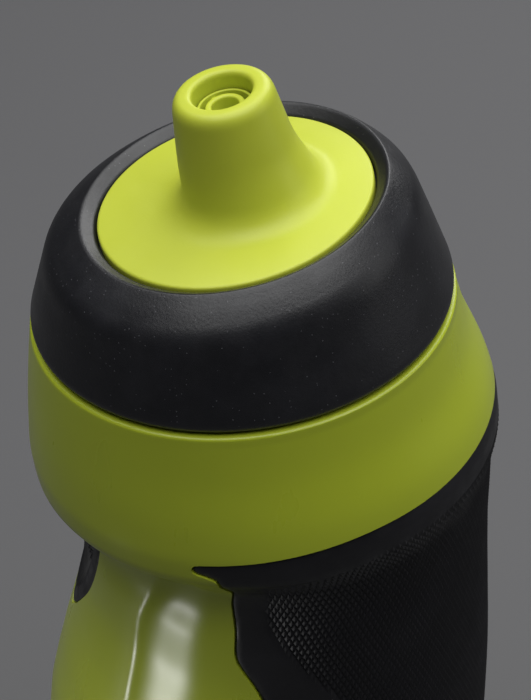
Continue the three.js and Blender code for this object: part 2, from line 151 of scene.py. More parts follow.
class Plane:
    """A leaning plane, given by a point back and up from the base's centre and its turn about X."""

    def __init__(self, back, up, lean):
        self.back, self.up, self.lean = back, up, lean

    def ring(self, radius, height=0.0, back=0.0):
        """A ring as (back, up, radius, lean), at a height over the plane."""
        cos, sin = math.cos(self.lean), math.sin(self.lean)
        return (self.back + back * cos - height * sin, self.up + back * sin + height * cos, radius, self.lean)

    def inner(self, back, up, lean):
        """A plane given in this plane's own frame."""
        centre = self.ring(0, up, back)
        return Plane(centre[0], centre[1], self.lean + lean)


def base_plane():
    return Plane(0, 0, 0)


def head_plane():
    body = sizes("body")
    return Plane(-body.head_forward, body.head_height, body.head_lean)


def crown_plane():
    cap = sizes("cap")
    return head_plane().inner(0.8 * MM, cap.crown_height, cap.crown_slant)


def between(one, two, part, lift=0.0):
    """The ring part of the way from one ring to another, raised by a lift."""
    back, up, radius, lean = (a + (b - a) * part for a, b in zip(one, two))
    return (back - lift * math.sin(lean), up + lift * math.cos(lean), radius, lean)


def rounded(corners, closed=False, steps=5):
    """Rings for a run of (ring, softness) corners, each corner turned into an arc of about that reach."""
    rings = []
    count = len(corners)
    for i, (ring, soft) in enumerate(corners):
        inside = closed or 0 < i < count - 1
        if not soft or not inside:
            rings.append(ring)
            continue
        before, after = corners[i - 1][0], corners[(i + 1) % count][0]
        starts = []
        for other in (before, after):
            reach = math.dist(ring[:3], other[:3])
            starts.append(between(ring, other, min(soft * MM / reach, 0.48)))
        for k in range(steps + 1):
            t = k / steps
            first = between(starts[0], ring, t)
            second = between(ring, starts[1], t)
            rings.append(between(first, second, t))
    return rings


# ---- modelling helpers ----

def deselect():
    if bpy.context.object and bpy.context.object.mode != "OBJECT":
        bpy.ops.object.mode_set(mode="OBJECT")
    bpy.ops.object.select_all(action="DESELECT")


def only(piece):
    deselect()
    piece.select_set(True)
    bpy.context.view_layer.objects.active = piece


def named(piece, name):
    piece.name = name
    piece.data.name = name
    return piece


def placed():
    """Puts the active object's place into its mesh."""
    bpy.ops.object.transform_apply(location=True, rotation=True, scale=True)
    return bpy.context.active_object


def loft(name, rings, segments, closed=False):
    """Draws a ring out, ring after ring. The ends are joined to each other, or each is filled."""
    deselect()
    back, up, radius, lean = rings[0]
    bpy.ops.mesh.primitive_circle_add(vertices=segments, radius=radius, location=(0, back, up),
                                      rotation=(lean, 0, 0))
    piece = named(placed(), name)
    bpy.ops.object.mode_set(mode="EDIT")
    bpy.ops.mesh.select_mode(type="VERT")
    bpy.ops.mesh.select_all(action="SELECT")
    for here, there in zip(rings, rings[1:]):
        centre = (0, there[0], there[1])
        move = (0, there[0] - here[0], there[1] - here[1])
        bpy.ops.mesh.extrude_region_move(TRANSFORM_OT_translate={"value": move})
        if abs(there[2] - here[2]) > 1e-9:
            factor = there[2] / here[2]
            bpy.ops.transform.resize(value=(factor, factor, factor), center_override=centre)
        if abs(there[3] - here[3]) > 1e-9:
            bpy.ops.transform.rotate(value=here[3] - there[3], orient_axis="X", center_override=centre)
    bpy.ops.mesh.select_all(action="DESELECT")
    bpy.ops.mesh.select_mode(type="EDGE")
    bpy.ops.mesh.select_non_manifold()
    if closed:
        bpy.ops.mesh.bridge_edge_loops()
    else:
        bpy.ops.mesh.fill_holes(sides=0)
    face_outwards()
    return piece


def smooth(piece, degrees=32):
    only(piece)
    bpy.ops.object.shade_smooth_by_angle(angle=math.radians(degrees))


def combined(piece, other, operation):
    only(piece)
    boolean = piece.modifiers.new("Fit", "BOOLEAN")
    boolean.operation = operation
    boolean.solver = "EXACT"
    boolean.object = other
    bpy.ops.object.modifier_apply(modifier=boolean.name)
    bpy.data.objects.remove(other)


def coordinates(piece):
    points = np.empty(len(piece.data.vertices) * 3)
    piece.data.vertices.foreach_get("co", points)
    return points.reshape(-1, 3)


def move_points(piece, points):
    piece.data.vertices.foreach_set("co", points.ravel())
    piece.data.update()


def to_plane(points, plane):
    """Turns and moves points that were made on the base's plane onto a leaning plane."""
    cos, sin = math.cos(plane.lean), math.sin(plane.lean)
    x, y, z = points.T
    return np.stack([x, plane.back + y * cos - z * sin, plane.up + y * sin + z * cos], axis=1)


def face_centres(piece):
    centres = np.empty(len(piece.data.polygons) * 3)
    piece.data.polygons.foreach_get("center", centres)
    return centres.reshape(-1, 3)


def selected_points(piece):
    chosen = np.empty(len(piece.data.vertices), dtype=bool)
    piece.data.vertices.foreach_get("select", chosen)
    return chosen


def edit_faces(piece, chosen):
    """Opens the active piece for editing with only the chosen faces selected."""
    bpy.ops.object.mode_set(mode="EDIT")
    bpy.ops.mesh.select_mode(type="FACE")
    bpy.ops.mesh.select_all(action="DESELECT")
    bpy.ops.object.mode_set(mode="OBJECT")
    piece.data.polygons.foreach_set("select", chosen)
    bpy.ops.object.mode_set(mode="EDIT")


def face_outwards():
    """Turns all faces of the active piece outwards and leaves editing."""
    bpy.ops.object.mode_set(mode="EDIT")
    bpy.ops.mesh.select_all(action="SELECT")
    bpy.ops.mesh.normals_make_consistent(inside=False)
    bpy.ops.object.mode_set(mode="OBJECT")


def eased(low, high, values):
    """0 below the low value, 1 above the high one, and a soft step between."""
    t = np.clip((values - low) / (high - low), 0, 1)
    return t * t * (3 - 2 * t)


# ---- the bottle's outer form ----

def body_sections():
    """Rows of height, radius, how far forward and the share of the cap's lean, from the base's corner up."""
    b = sizes("body")
    flare = b.lower_radius - b.waist_radius
    swell = b.shoulder_radius - b.lip_radius

    def flared(below, part, back, lean):
        return (b.waist_height - below * MM, b.waist_radius + part * flare, -back * b.waist_backward, lean)

    def banded(height, part, forward):
        return (height, b.lip_radius + part * swell, forward * b.head_forward, 1)

    return np.array([
        (8 * MM, b.lower_radius - 0.5 * MM, 0, 0),
        (30 * MM, b.lower_radius, 0, 0),
        flared(70, 1.04, 0, 0),
        flared(46, 0.96, 0.09, 0),
        flared(30, 0.65, 0.49, 0),
        flared(18, 0.31, 0.83, 0),
        flared(8, 0.08, 0.99, 0.1),
        flared(0, 0, 0.98, 0.39),
        flared(-7, -0.08, 1.08, 0.69),
        (b.shoulder_height - 8.5 * MM, b.waist_radius, -0.95 * b.waist_backward, 0.9),
        (b.shoulder_height - 5 * MM, b.shoulder_radius - 2.2 * MM, -0.46 * b.waist_backward, 0.97),
        banded(b.shoulder_height - 1.5 * MM, 0.98, 0.03),
        banded(b.shoulder_height + 1.5 * MM, 0.98, 0.14),
        banded(b.shoulder_height + 5.5 * MM, 0.87, 0.28),
        banded(b.head_height - 8.2 * MM, 0.32, 0.81),
        banded(b.head_height - 1.5 * MM, 0.04, 1),
    ])


def smooth_column(heights, values, at):
    """A curve through values at heights that neither overshoots nor kinks."""
    steps = np.diff(values) / np.diff(heights)
    product = steps[:-1] * steps[1:]
    total = steps[:-1] + steps[1:]
    inner = np.where(product > 0, 2 * product / np.where(product > 0, total, 1), 0)
    slopes = np.concatenate([steps[:1], inner, steps[-1:]])
    index = np.clip(np.searchsorted(heights, at) - 1, 0, len(heights) - 2)
    span = heights[index + 1] - heights[index]
    t = np.clip((at - heights[index]) / span, 0, 1)
    start, end = values[index], values[index + 1]
    enter = slopes[index] * span * t * (1 - t) ** 2
    leave = slopes[index + 1] * span * t * t * (1 - t)
    return start + (end - start) * t * t * (3 - 2 * t) + enter - leave


def form_at(at):
    """Radius, forward shift and lean of the outer form at heights."""
    rows = body_sections()
    radius, forward, lean = (smooth_column(rows[:, 0], rows[:, i], np.asarray(at)) for i in (1, 2, 3))
    return radius, forward, lean * sizes("body").head_lean


def body_ring(height, offset=0.0):
    radius, forward, lean = (float(value) for value in form_at(height))
    return (-forward, height, radius + offset, lean)


def wrapped(heights, angles, offsets):
    """Points of the outer form, moved out by offsets. Angles go from the front towards +X."""
    radius, forward, lean = form_at(heights)
    reach = radius + offsets
    side = -reach * np.cos(angles)
    return np.stack([reach * np.sin(angles), -forward + side * np.cos(lean), heights + side * np.sin(lean)],
                    axis=1)


def unwrapped(points):
    """Heights, angles and offsets of points near the outer form."""
    x, y, z = points.T
    heights = z.copy()
    for _ in range(6):
        radius, forward, lean = form_at(heights)
        heights = z - (y + forward) * np.tan(lean)
    back = (y + forward) / np.cos(lean)
    return heights, np.arctan2(x, -back), np.hypot(x, back) - radius


# ---- outlines of the grips, flat on (arc round the waist, height) ----

class Outline:
    """A pad's edge: its half width at a height, and its upper edge, which droops to blunt corners."""

    def __init__(self, heights, halves, top, droop_from, droop, blunt):
        self.heights, self.halves = heights, halves
        self.top, self.droop_from, self.droop, self.blunt = top, droop_from, droop, blunt

    def upper(self, across):
        widest = self.halves[-1]
        away = np.abs(across)
        t = np.clip((away - self.droop_from) / (widest - self.droop_from), 0, 1)
        corner = np.clip((away - widest) / self.blunt + 1, 0, 1)
        return self.top - self.droop * t ** 1.3 - self.blunt * (1 - np.sqrt(1 - corner ** 2))

    def points(self, grow=0.0):
        """The edge as a closed run of points, counted round from the lowest, moved out by a growth."""
        side = np.stack([self.halves, self.heights], axis=1)
        across = np.sin(np.linspace(1, -1, 201)[1:-1] * math.pi / 2) * self.halves[-1]
        top = np.stack([across, self.upper(across)], axis=1)
        edge = np.concatenate([side, top, (side * (-1, 1))[::-1][:-1]])
        ahead = np.roll(edge, -1, axis=0) - np.roll(edge, 1, axis=0)
        normal = np.stack([ahead[:, 1], -ahead[:, 0]], axis=1)
        return edge + grow * normal / np.linalg.norm(normal, axis=1)[:, None]


def waist_arc(degrees):
    return math.radians(degrees) * sizes("body").waist_radius


def rounded_sides(widest, bottom, half, roundness):
    """Heights and half widths of a pad's sides, from its round lower tip up to its widest line."""
    below = 1 - np.linspace(0, 1, 90) ** 1.6
    heights = widest - (widest - bottom) * below
    return heights, half * np.maximum(1 - below ** 1.4, 0) ** roundness


def palm_outline():
    """The palm grip: over its widest line it draws in along a bow, then runs out into blunt upper corners."""
    b, grip = sizes("body"), sizes("grips")
    widest = b.waist_height + 8 * MM
    nook = b.shoulder_height - 2 * MM
    tip = b.shoulder_height + 0.9 * MM
    underside = tip - grip.horn_round
    side, elbow = waist_arc(105), waist_arc(2.2)
    elbow_height, elbow_reach = b.waist_height - 2.5 * MM, 4.2 * MM
    heights, halves = rounded_sides(widest, 80 * MM, side, 0.62)
    halves = halves + elbow * np.exp(-((heights - elbow_height) / elbow_reach) ** 2)
    over = np.linspace(widest, tip, 110)[1:]
    bow_from = widest + 2.5 * MM
    bow = np.clip((over - bow_from) / (nook - bow_from), 0, 1)
    run_out = np.clip((over - nook) / (underside - nook), 0, 1)
    turn_up = np.clip((tip - over) / grip.horn_round, 0, 1)
    above = side - grip.nook_depth * bow ** 1.2 + (grip.horn_reach - grip.horn_round) * run_out ** 2.6
    above += grip.horn_round * np.sqrt(1 - turn_up ** 2)
    return Outline(np.concatenate([heights, over]), np.concatenate([halves, above]),
                   b.shoulder_height + 3.6 * MM, waist_arc(60), 1.9 * MM, grip.horn_round)


def thumb_outline():
    """The thumb grip: a tongue with a round tip below and two blunt upper corners."""
    b = sizes("body")
    widest = b.waist_height + 2 * MM
    corner = 2.5 * MM
    top, droop = b.waist_height + 9.9 * MM, 0.6 * MM
    side, draw_in = waist_arc(23.4), waist_arc(0.8)
    heights, halves = rounded_sides(widest, b.waist_height - 22 * MM, side, 0.82)
    over = np.linspace(widest, top - droop - corner, 24)[1:]
    above = side - draw_in * ((over - widest) / (over[-1] - widest)) ** 2
    return Outline(np.concatenate([heights, over]), np.concatenate([halves, above]),
                   top, waist_arc(9), droop, corner)


def inside_of(edge, points):
    """Which points lie inside a closed run of points."""
    crossings = np.zeros(len(points), dtype=int)
    for (x0, y0), (x1, y1) in zip(edge, np.roll(edge, -1, axis=0)):
        if y0 == y1:
            continue
        spans = (points[:, 1] >= min(y0, y1)) & (points[:, 1] < max(y0, y1))
        meets = x0 + (points[:, 1] - y0) * (x1 - x0) / (y1 - y0)
        crossings += spans & (meets > points[:, 0])
    return crossings % 2 == 1


def nearest_on(edge, points):
    """The nearest point of a closed run of points to each point, and the distance to it."""
    best = np.full(len(points), np.inf)
    spots = np.zeros_like(points)
    for start, end in zip(edge, np.roll(edge, -1, axis=0)):
        run = end - start
        size = float(run @ run)
        if size < 1e-16:
            continue
        t = np.clip((points - start) @ run / size, 0, 1)
        spot = start + t[:, None] * run
        distance = np.linalg.norm(points - spot, axis=1)
        closer = distance < best
        best[closer] = distance[closer]
        spots[closer] = spot[closer]
    return spots, best


def flat_patch(name, edge, step_across, step_up, middle_up):
    """A flat sheet of small quads trimmed to an edge, in whole steps from its middle line and a height."""
    low, high = edge.min(axis=0), edge.max(axis=0)
    columns = 2 * math.ceil(max(-low[0], high[0]) / step_across) + 2
    rows_down = math.ceil((middle_up - low[1]) / step_up) + 1
    rows_up = math.ceil((high[1] - middle_up) / step_up) + 1
    rows = rows_down + rows_up
    centre_up = middle_up + (rows_up - rows_down) * step_up / 2
    deselect()
    bpy.ops.mesh.primitive_grid_add(x_subdivisions=columns, y_subdivisions=rows, size=1,
                                    location=(0, centre_up, 0))
    piece = named(bpy.context.active_object, name)
    bpy.ops.transform.resize(value=(columns * step_across, rows * step_up, 1))
    placed()
    edit_faces(piece, ~inside_of(edge, face_centres(piece)[:, :2]))
    bpy.ops.mesh.delete(type="FACE")
    bpy.ops.mesh.select_mode(type="VERT")
    bpy.ops.mesh.select_non_manifold()
    bpy.ops.object.mode_set(mode="OBJECT")
    rim = selected_points(piece)
    points = coordinates(piece)
    points[rim, :2] = nearest_on(edge, points[rim, :2])[0]
    move_points(piece, points)
    return piece


def thicken(piece, down):
    """Draws a flat sheet down into a slab with a flat underside."""
    only(piece)
    bpy.ops.object.mode_set(mode="EDIT")
    bpy.ops.mesh.select_mode(type="FACE")
    bpy.ops.mesh.select_all(action="SELECT")
    bpy.ops.mesh.extrude_region_move(TRANSFORM_OT_translate={"value": (0, 0, -down)})
    bpy.ops.object.mode_set(mode="OBJECT")
    points = coordinates(piece)
    points[selected_points(piece), 2] = -down
    move_points(piece, points)
    face_outwards()


def wrap(piece, middle):
    """Bends a flat slab round the outer form, its middle line at an angle from the front."""
    flat = coordinates(piece)
    angles = middle + flat[:, 0] / sizes("body").waist_radius
    move_points(piece, wrapped(flat[:, 1], angles, flat[:, 2]))
    only(piece)
    face_outwards()


def recess_cutter(name, outline, middle):
    """The slab that cuts a grip's recess, a clearance larger all round and standing out of the form."""
    grip = sizes("grips")
    above, step = 3 * MM, 0.8 * MM
    patch = flat_patch(name, outline.points(grip.clearance), step, step, sizes("body").waist_height)
    points = coordinates(patch)
    points[:, 2] = above
    move_points(patch, points)
    thicken(patch, grip.thickness + grip.clearance)
    wrap(patch, middle)
    return patch


def knurled_pad(name, outline, middle, field):
    """A grip with a rounded edge, a smooth border and a field of raised long diamond cells."""
    grip = sizes("grips")
    across, up = grip.cell_width / 2, grip.cell_height / 2
    start = sizes("body").waist_height
    edge_reach, edge_drop = 0.55 * MM, 0.28 * MM
    piece = flat_patch(name, outline.points(), across, up, start)
    points = coordinates(piece)
    flat = points[:, :2]
    distance = nearest_on(outline.points(), flat)[1]
    count_across = np.rint(flat[:, 0] / across).astype(int)
    count_up = np.rint((flat[:, 1] - start) / up).astype(int)
    groove = (count_across + count_up) % 2
    strength = field(flat, distance)
    rim = np.clip(1 - distance / edge_reach, 0, 1)
    points[:, 2] = -grip.cell_depth * groove * strength - edge_drop * rim ** 2
    move_points(piece, points)
    split_along_grooves(piece, across, up, start)
    thicken(piece, grip.thickness)
    wrap(piece, middle)
    return piece


def split_along_grooves(piece, across, up, start):
    """Cuts each quad from groove to groove, so that every cell is a whole diamond."""
    only(piece)
    centres = face_centres(piece)
    even = (np.floor(centres[:, 0] / across) + np.floor((centres[:, 1] - start) / up)) % 2 == 0
    edit_faces(piece, even)
    bpy.ops.mesh.quads_convert_to_tris(quad_method="FIXED_ALTERNATE")
    bpy.ops.mesh.select_all(action="SELECT")
    bpy.ops.mesh.quads_convert_to_tris(quad_method="FIXED")
    bpy.ops.object.mode_set(mode="OBJECT")


# ---- screw threads ----

def thread_rib(name, wall_radius, side, start, plane, turns=0.92):
    """A screw rib that grows from a wall, outwards when the side is 1 and inwards when it is -1."""
    cap = sizes("cap")
    deselect()
    bpy.ops.mesh.primitive_plane_add(size=1)
    piece = named(bpy.context.active_object, name)
    root, crest = 1.1 * MM, 0.5 * MM
    inner, outer = wall_radius - side * 0.4 * MM, wall_radius + side * cap.thread_depth
    profile = np.array([(0, -inner, start - root), (0, -outer, start - crest),
                        (0, -inner, start + root), (0, -outer, start + crest)])
    move_points(piece, profile)
    screw = piece.modifiers.new("Turn", "SCREW")
    screw.axis = "Z"
    screw.angle = TAU * turns
    screw.screw_offset = cap.thread_pitch * turns
    screw.steps = screw.render_steps = 88
    screw.use_normal_calculate = True
    only(piece)
    bpy.ops.object.modifier_apply(modifier=screw.name)
    bpy.ops.object.mode_set(mode="EDIT")
    bpy.ops.mesh.select_mode(type="EDGE")
    bpy.ops.mesh.select_all(action="DESELECT")
    bpy.ops.mesh.select_interior_faces()
    bpy.ops.mesh.delete(type="FACE")
    bpy.ops.mesh.select_all(action="SELECT")
    bpy.ops.mesh.remove_doubles(threshold=1e-6)
    bpy.ops.mesh.select_all(action="DESELECT")
    bpy.ops.mesh.select_non_manifold()
    bpy.ops.mesh.fill_holes(sides=0)
    face_outwards()
    points = coordinates(piece)
    radius = np.hypot(points[:, 0], points[:, 1])
    rise = (points[:, 2] - start) / (cap.thread_pitch * turns)
    ends = np.clip(0.2 + 7 * np.minimum(rise + 0.13, 1.13 - rise), 0.2, 1)
    wanted = np.where((radius - wall_radius) * side > 0, wall_radius + (radius - wall_radius) * ends, radius)
    points[:, :2] *= (wanted / radius)[:, None]
    move_points(piece, to_plane(points, plane))
    return piece


# ---- materials ----

class Finish:
    """A node material built up from a Principled shader and patterns on the piece's own coordinates."""

    def __init__(self, name, rough, **sockets):
        self.material = bpy.data.materials.new(name)
        self.material.use_nodes = True
        tree = self.material.node_tree
        self.nodes, self.links = tree.nodes, tree.links
        self.shader = self.nodes["Principled BSDF"]
        self.shader.inputs["Roughness"].default_value = rough
        for socket, value in sockets.items():
            self.shader.inputs[socket.replace("_", " ")].default_value = value
        self.place = self.nodes.new("ShaderNodeTexCoord").outputs["Object"]

    def noise(self, scale, detail=3.0, roughness=0.5, stretch=None):
        node = self.nodes.new("ShaderNodeTexNoise")
        node.inputs["Scale"].default_value = scale
        node.inputs["Detail"].default_value = detail
        node.inputs["Roughness"].default_value = roughness
        source = self.place
        if stretch:
            mapping = self.nodes.new("ShaderNodeMapping")
            mapping.inputs["Scale"].default_value = stretch
            self.links.new(source, mapping.inputs["Vector"])
            source = mapping.outputs["Vector"]
        self.links.new(source, node.inputs["Vector"])
        return node.outputs["Fac"]

    def cells(self, scale):
        node = self.nodes.new("ShaderNodeTexVoronoi")
        node.inputs["Scale"].default_value = scale
        self.links.new(self.place, node.inputs["Vector"])
        return node.outputs["Distance"], node.outputs["Color"]

    def remap(self, value, low, high, to_low=0.0, to_high=1.0):
        node = self.nodes.new("ShaderNodeMapRange")
        for socket, number in zip(("From Min", "From Max", "To Min", "To Max"), (low, high, to_low, to_high)):
            node.inputs[socket].default_value = number
        self.links.new(value, node.inputs["Value"])
        return node.outputs["Result"]

    def maths(self, operation, one, two):
        node = self.nodes.new("ShaderNodeMath")
        node.operation = operation
        for i, value in enumerate((one, two)):
            if isinstance(value, (int, float)):
                node.inputs[i].default_value = value
            else:
                self.links.new(value, node.inputs[i])
        return node.outputs["Value"]

    def blend(self, factor, one, two):
        node = self.nodes.new("ShaderNodeMix")
        node.data_type = "RGBA"
        for socket, value in ((0, factor), (6, one), (7, two)):
            if isinstance(value, tuple):
                node.inputs[socket].default_value = value
            else:
                self.links.new(value, node.inputs[socket])
        return node.outputs[2]

    def base(self, value):
        self.links.new(value, self.shader.inputs["Base Color"])

    def roughness(self, value):
        self.links.new(value, self.shader.inputs["Roughness"])

    def bump(self, *layers):
        """Bump from (height, strength, distance) layers, each over the one before."""
        last = None
        for height, strength, distance in layers:
            node = self.nodes.new("ShaderNodeBump")
            node.inputs["Strength"].default_value = strength
            node.inputs["Distance"].default_value = distance
            self.links.new(height, node.inputs["Height"])
            if last:
                self.links.new(last, node.inputs["Normal"])
            last = node.outputs["Normal"]
        self.links.new(last, self.shader.inputs["Normal"])


def shade_of(rgb, factor):
    return tuple(min(1.0, value * factor) for value in rgb) + (1.0,)


def squeeze_plastic():
    """Soft glossy plastic: faint clouding in the colour, long handling marks and a slight unevenness."""
    lime = sizes("colours").shell
    finish = Finish("squeeze_plastic", 0.26, Specular_IOR_Level=0.5, IOR=1.5, Subsurface_Weight=0.12,
                    Subsurface_Radius=(0.0035, 0.0030, 0.0008), Subsurface_Scale=0.6)
    cloud = finish.noise(22, 4)
    finish.base(finish.blend(finish.remap(cloud, 0.3, 0.7), shade_of(lime, 0.95), shade_of(lime, 1.05)))
    marks = finish.noise(45, 4, 0.55, stretch=(2.5, 2.5, 0.8))
    finish.roughness(finish.remap(marks, 0.3, 0.75, 0.27, 0.31))
    finish.bump((finish.noise(28, 2), 0.03, 0.0005), (finish.noise(1400, 2), 0.04, 0.00005))
    return finish.material


def satin_plastic():
    """Moulded satin plastic of the spout, with a fine spark-eroded grain."""
    lime = sizes("colours").spout
    finish = Finish("satin_plastic", 0.42, Specular_IOR_Level=0.45, IOR=1.49, Subsurface_Weight=0.08,
                    Subsurface_Radius=(0.0025, 0.0022, 0.0006), Subsurface_Scale=0.5)
    cloud = finish.noise(40, 4)
    finish.base(finish.blend(finish.remap(cloud, 0.3, 0.7), shade_of(lime, 0.96), shade_of(lime, 1.04)))
    finish.roughness(finish.remap(finish.noise(260, 4), 0.3, 0.7, 0.36, 0.48))
    finish.bump((finish.noise(2600, 3, 0.6), 0.16, 0.00008))
    return finish.material


def textured_black():
    """Black plastic with an eroded grain, tiny pale specks of dust and paler worn patches."""
    black = sizes("colours").cap
    finish = Finish("textured_black", 0.42, Specular_IOR_Level=0.65, IOR=1.5)
    distance, pick = finish.cells(1300)
    speck = finish.maths("MULTIPLY", finish.maths("LESS_THAN", distance, 0.13),
                         finish.maths("GREATER_THAN", pick, 0.62))
    worn = finish.remap(finish.noise(55, 6, 0.65), 0.52, 0.75)
    body = finish.blend(worn, shade_of(black, 0.9), shade_of(black, 1.6))
    finish.base(finish.blend(finish.maths("MULTIPLY", speck, 0.3), body, (0.22, 0.22, 0.24, 1.0)))
    finish.roughness(finish.remap(finish.noise(180, 5, 0.6), 0.3, 0.7, 0.36, 0.47))
    finish.bump((finish.noise(1900, 3, 0.65), 0.35, 0.00010), (finish.noise(45, 2), 0.06, 0.0005))
    return finish.material


def grip_rubber():
    """Dull black rubber, a little greyer where it has been handled."""
    black = sizes("colours").rubber
    finish = Finish("grip_rubber", 0.5, Specular_IOR_Level=0.45, IOR=1.52)
    handled = finish.remap(finish.noise(70, 6, 0.6), 0.45, 0.75)
    finish.base(finish.blend(handled, shade_of(black, 0.9), shade_of(black, 1.7)))
    finish.roughness(finish.remap(finish.noise(300, 4), 0.3, 0.7, 0.42, 0.58))
    finish.bump((finish.noise(1600, 3, 0.6), 0.30, 0.00008))
    return finish.material


def milky_silicone():
    """Milky silicone with a soft clouding and a dusty surface."""
    milk = sizes("colours").silicone
    finish = Finish("milky_silicone", 0.5, Specular_IOR_Level=0.4, IOR=1.41, Subsurface_Weight=0.3,
                    Subsurface_Radius=(0.002, 0.002, 0.0015), Subsurface_Scale=0.6)
    cloud = finish.noise(300, 4)
    finish.base(finish.blend(finish.remap(cloud, 0.3, 0.7), shade_of(milk, 0.93), shade_of(milk, 1.05)))
    finish.roughness(finish.remap(finish.noise(900, 3), 0.3, 0.7, 0.42, 0.6))
    finish.bump((finish.noise(2200, 3), 0.2, 0.00006))
    return finish.material


def pale_floor():
    """Plain painted floor with an almost even tone."""
    grey = sizes("colours").floor
    finish = Finish("pale_floor", 0.7, Specular_IOR_Level=0.2)
    finish.base(finish.blend(finish.remap(finish.noise(3, 3), 0.3, 0.7), shade_of(grey, 0.98),
                             shade_of(grey, 1.02)))
    finish.bump((finish.noise(400, 3), 0.05, 0.0003))
    return finish.material


FINISHES = {"squeeze": squeeze_plastic, "satin": satin_plastic, "black": textured_black,
            "rubber": grip_rubber, "silicone": milky_silicone, "floor": pale_floor}
made_finishes = {}


def dress(piece, finish):
    """Gives a piece one finish, made the first time that it is asked for."""
    if finish not in made_finishes:
        made_finishes[finish] = FINISHES[finish]()
    piece.data.materials.clear()
    piece.data.materials.append(made_finishes[finish])


# ---- operators: one for each piece or group of like pieces ----

class BOTTLE_OT_shell(bpy.types.Operator):
    """Blow-moulded body: foot, waist, band, lip, threaded neck and the recesses for the grips"""
    bl_idname = "bottle.shell"
    bl_label = "Squeeze shell"

    def execute(self, context):
        b = sizes("body")
        ground, head = base_plane(), head_plane()
        lip = b.lip_radius
        throat = b.neck_radius - 2.4 * MM
        plain = b.waist_height - 36 * MM
        low = np.linspace(8 * MM, plain, 20)
        high = np.linspace(plain, b.head_height - 1.5 * MM, 76)[1:]
        foot = [
            (ground.ring(1.5 * MM, 2.6 * MM), 0),
            (ground.ring(b.foot_radius - 9 * MM, 2.3 * MM), 4),
            (ground.ring(b.foot_radius - 4 * MM, 0), 1.5),
            (ground.ring(b.foot_radius, 0), 1.2),
            (ground.ring(b.foot_radius + 4.6 * MM, 2.4 * MM), 3),
            (ground.ring(b.lower_radius - 0.5 * MM, 8 * MM), 0),
        ]
        top = [
            (body_ring(b.head_height - 1.5 * MM), 0),
            (head.ring(lip + 0.1 * MM, -0.4 * MM), 1.0),
            (head.ring(b.neck_radius + 0.3 * MM, -0.4 * MM), 0.6),
            (head.ring(b.neck_radius, b.neck_rise), 0.6),
            (head.ring(throat, b.neck_rise), 0.6),
            (head.ring(throat, -2.2 * MM), 1),
            (head.ring(throat + 2 * MM, -3.2 * MM), 0),
        ]
        inside = [body_ring(h, -b.wall) for h in np.linspace(b.head_height - 6 * MM, plain, 16)]
        inside += [body_ring(h, -b.wall) for h in np.linspace(plain, 8 * MM + b.wall, 8)[1:]]
        inside += [ground.ring(b.foot_radius - 1 * MM, b.wall + 1 * MM)]
        inside += [ground.ring(1.5 * MM, 2.6 * MM + b.wall)]
        rings = rounded(foot)[:-1] + [body_ring(h) for h in low] + [body_ring(h) for h in high[:-1]]
        rings += rounded(top) + inside
        shell = loft("squeeze_shell", rings, b.segments)
        self.press_flutes(shell)
        combined(shell, thread_rib("neck_thread", b.neck_radius, 1, 3.4 * MM, head), "UNION")
        combined(shell, recess_cutter("palm_cut", palm_outline(), BACK), "DIFFERENCE")
        combined(shell, recess_cutter("thumb_cut", thumb_outline(), 0.0), "DIFFERENCE")
        smooth(shell, 26)
        dress(shell, "squeeze")
        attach(shell, "bottle")
        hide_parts("bottle_body")
        return {"FINISHED"}

    def press_flutes(self, shell):
        """Raises a fine crease down each side between the grips, and presses a hollow beside it."""
        b = sizes("body")
        points = coordinates(shell)
        heights, angles, offsets = unwrapped(points)
        outer = np.abs(offsets) < 0.9 * MM
        outer &= (heights > 100 * MM) & (heights < b.shoulder_height + 2 * MM)
        swing_from, swing_to = b.waist_height - 13 * MM, b.shoulder_height - 1 * MM
        swing = np.clip((heights - swing_from) / (swing_to - swing_from), 0, 1.1) ** 2.5
        crease = b.crease_angle + b.crease_swing * swing
        across = (np.abs(angles) - crease) * b.waist_radius
        width = b.flute_width * (1 - 0.6 * swing)
        t = np.clip(across / width, 0, 1)
        hollow = 27 / 4 * t * (1 - t) ** 2
        ridge_reach = 0.9 * MM
        ridge = np.exp(-(across / ridge_reach) ** 2)
        along = eased(108 * MM, 134 * MM, heights) * (1 - eased(162 * MM, 170 * MM, heights))
        depth = (b.flute_depth * hollow - b.crease_rise * ridge) * along * outer
        moved = wrapped(heights, angles, offsets - depth)
        points[outer] = moved[outer]
        move_points(shell, points)


class BOTTLE_OT_grips(bpy.types.Operator):
    """Rubber grips: the palm grip wraps the back, the thumb grip is a tongue at the front"""
    bl_idname = "bottle.grips"
    bl_label = "Rubber grips"

    def execute(self, context):
        grip = sizes("grips")
        palm_edge = palm_outline()

        def palm_field(flat, distance):
            """Cells from a plain border in, which widens down the sides and towards the corners."""
            widest = sizes("body").waist_height + 8.5 * MM
            below = np.maximum(widest - flat[:, 1], 0) / MM
            over = np.maximum(flat[:, 1] - widest, 0) / MM
            side = waist_arc(97.5) - waist_arc(0.32) * below ** 1.4 - waist_arc(0.35) * over
            across = np.abs(flat[:, 0])
            widening = 1.6 * MM * eased(waist_arc(55), waist_arc(85), across)
            upper = palm_edge.upper(across) - grip.border - widening
            inward = np.minimum(np.minimum(distance - 2 * MM, upper - flat[:, 1]), side - across)
            return eased(0, 1.0 * MM, inward)

        def thumb_field(flat, distance):
            """Cells inside an even plain border."""
            return eased(0, 1.0 * MM, distance - 2 * MM)

        palm = knurled_pad("palm_grip_pad", palm_edge, BACK, palm_field)
        thumb = knurled_pad("thumb_grip_pad", thumb_outline(), 0.0, thumb_field)
        for piece, node in ((palm, "palm_grip"), (thumb, "thumb_grip")):
            smooth(piece, 40)
            dress(piece, "rubber")
            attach(piece, "bottle")
            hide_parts(node)
        return {"FINISHED"}


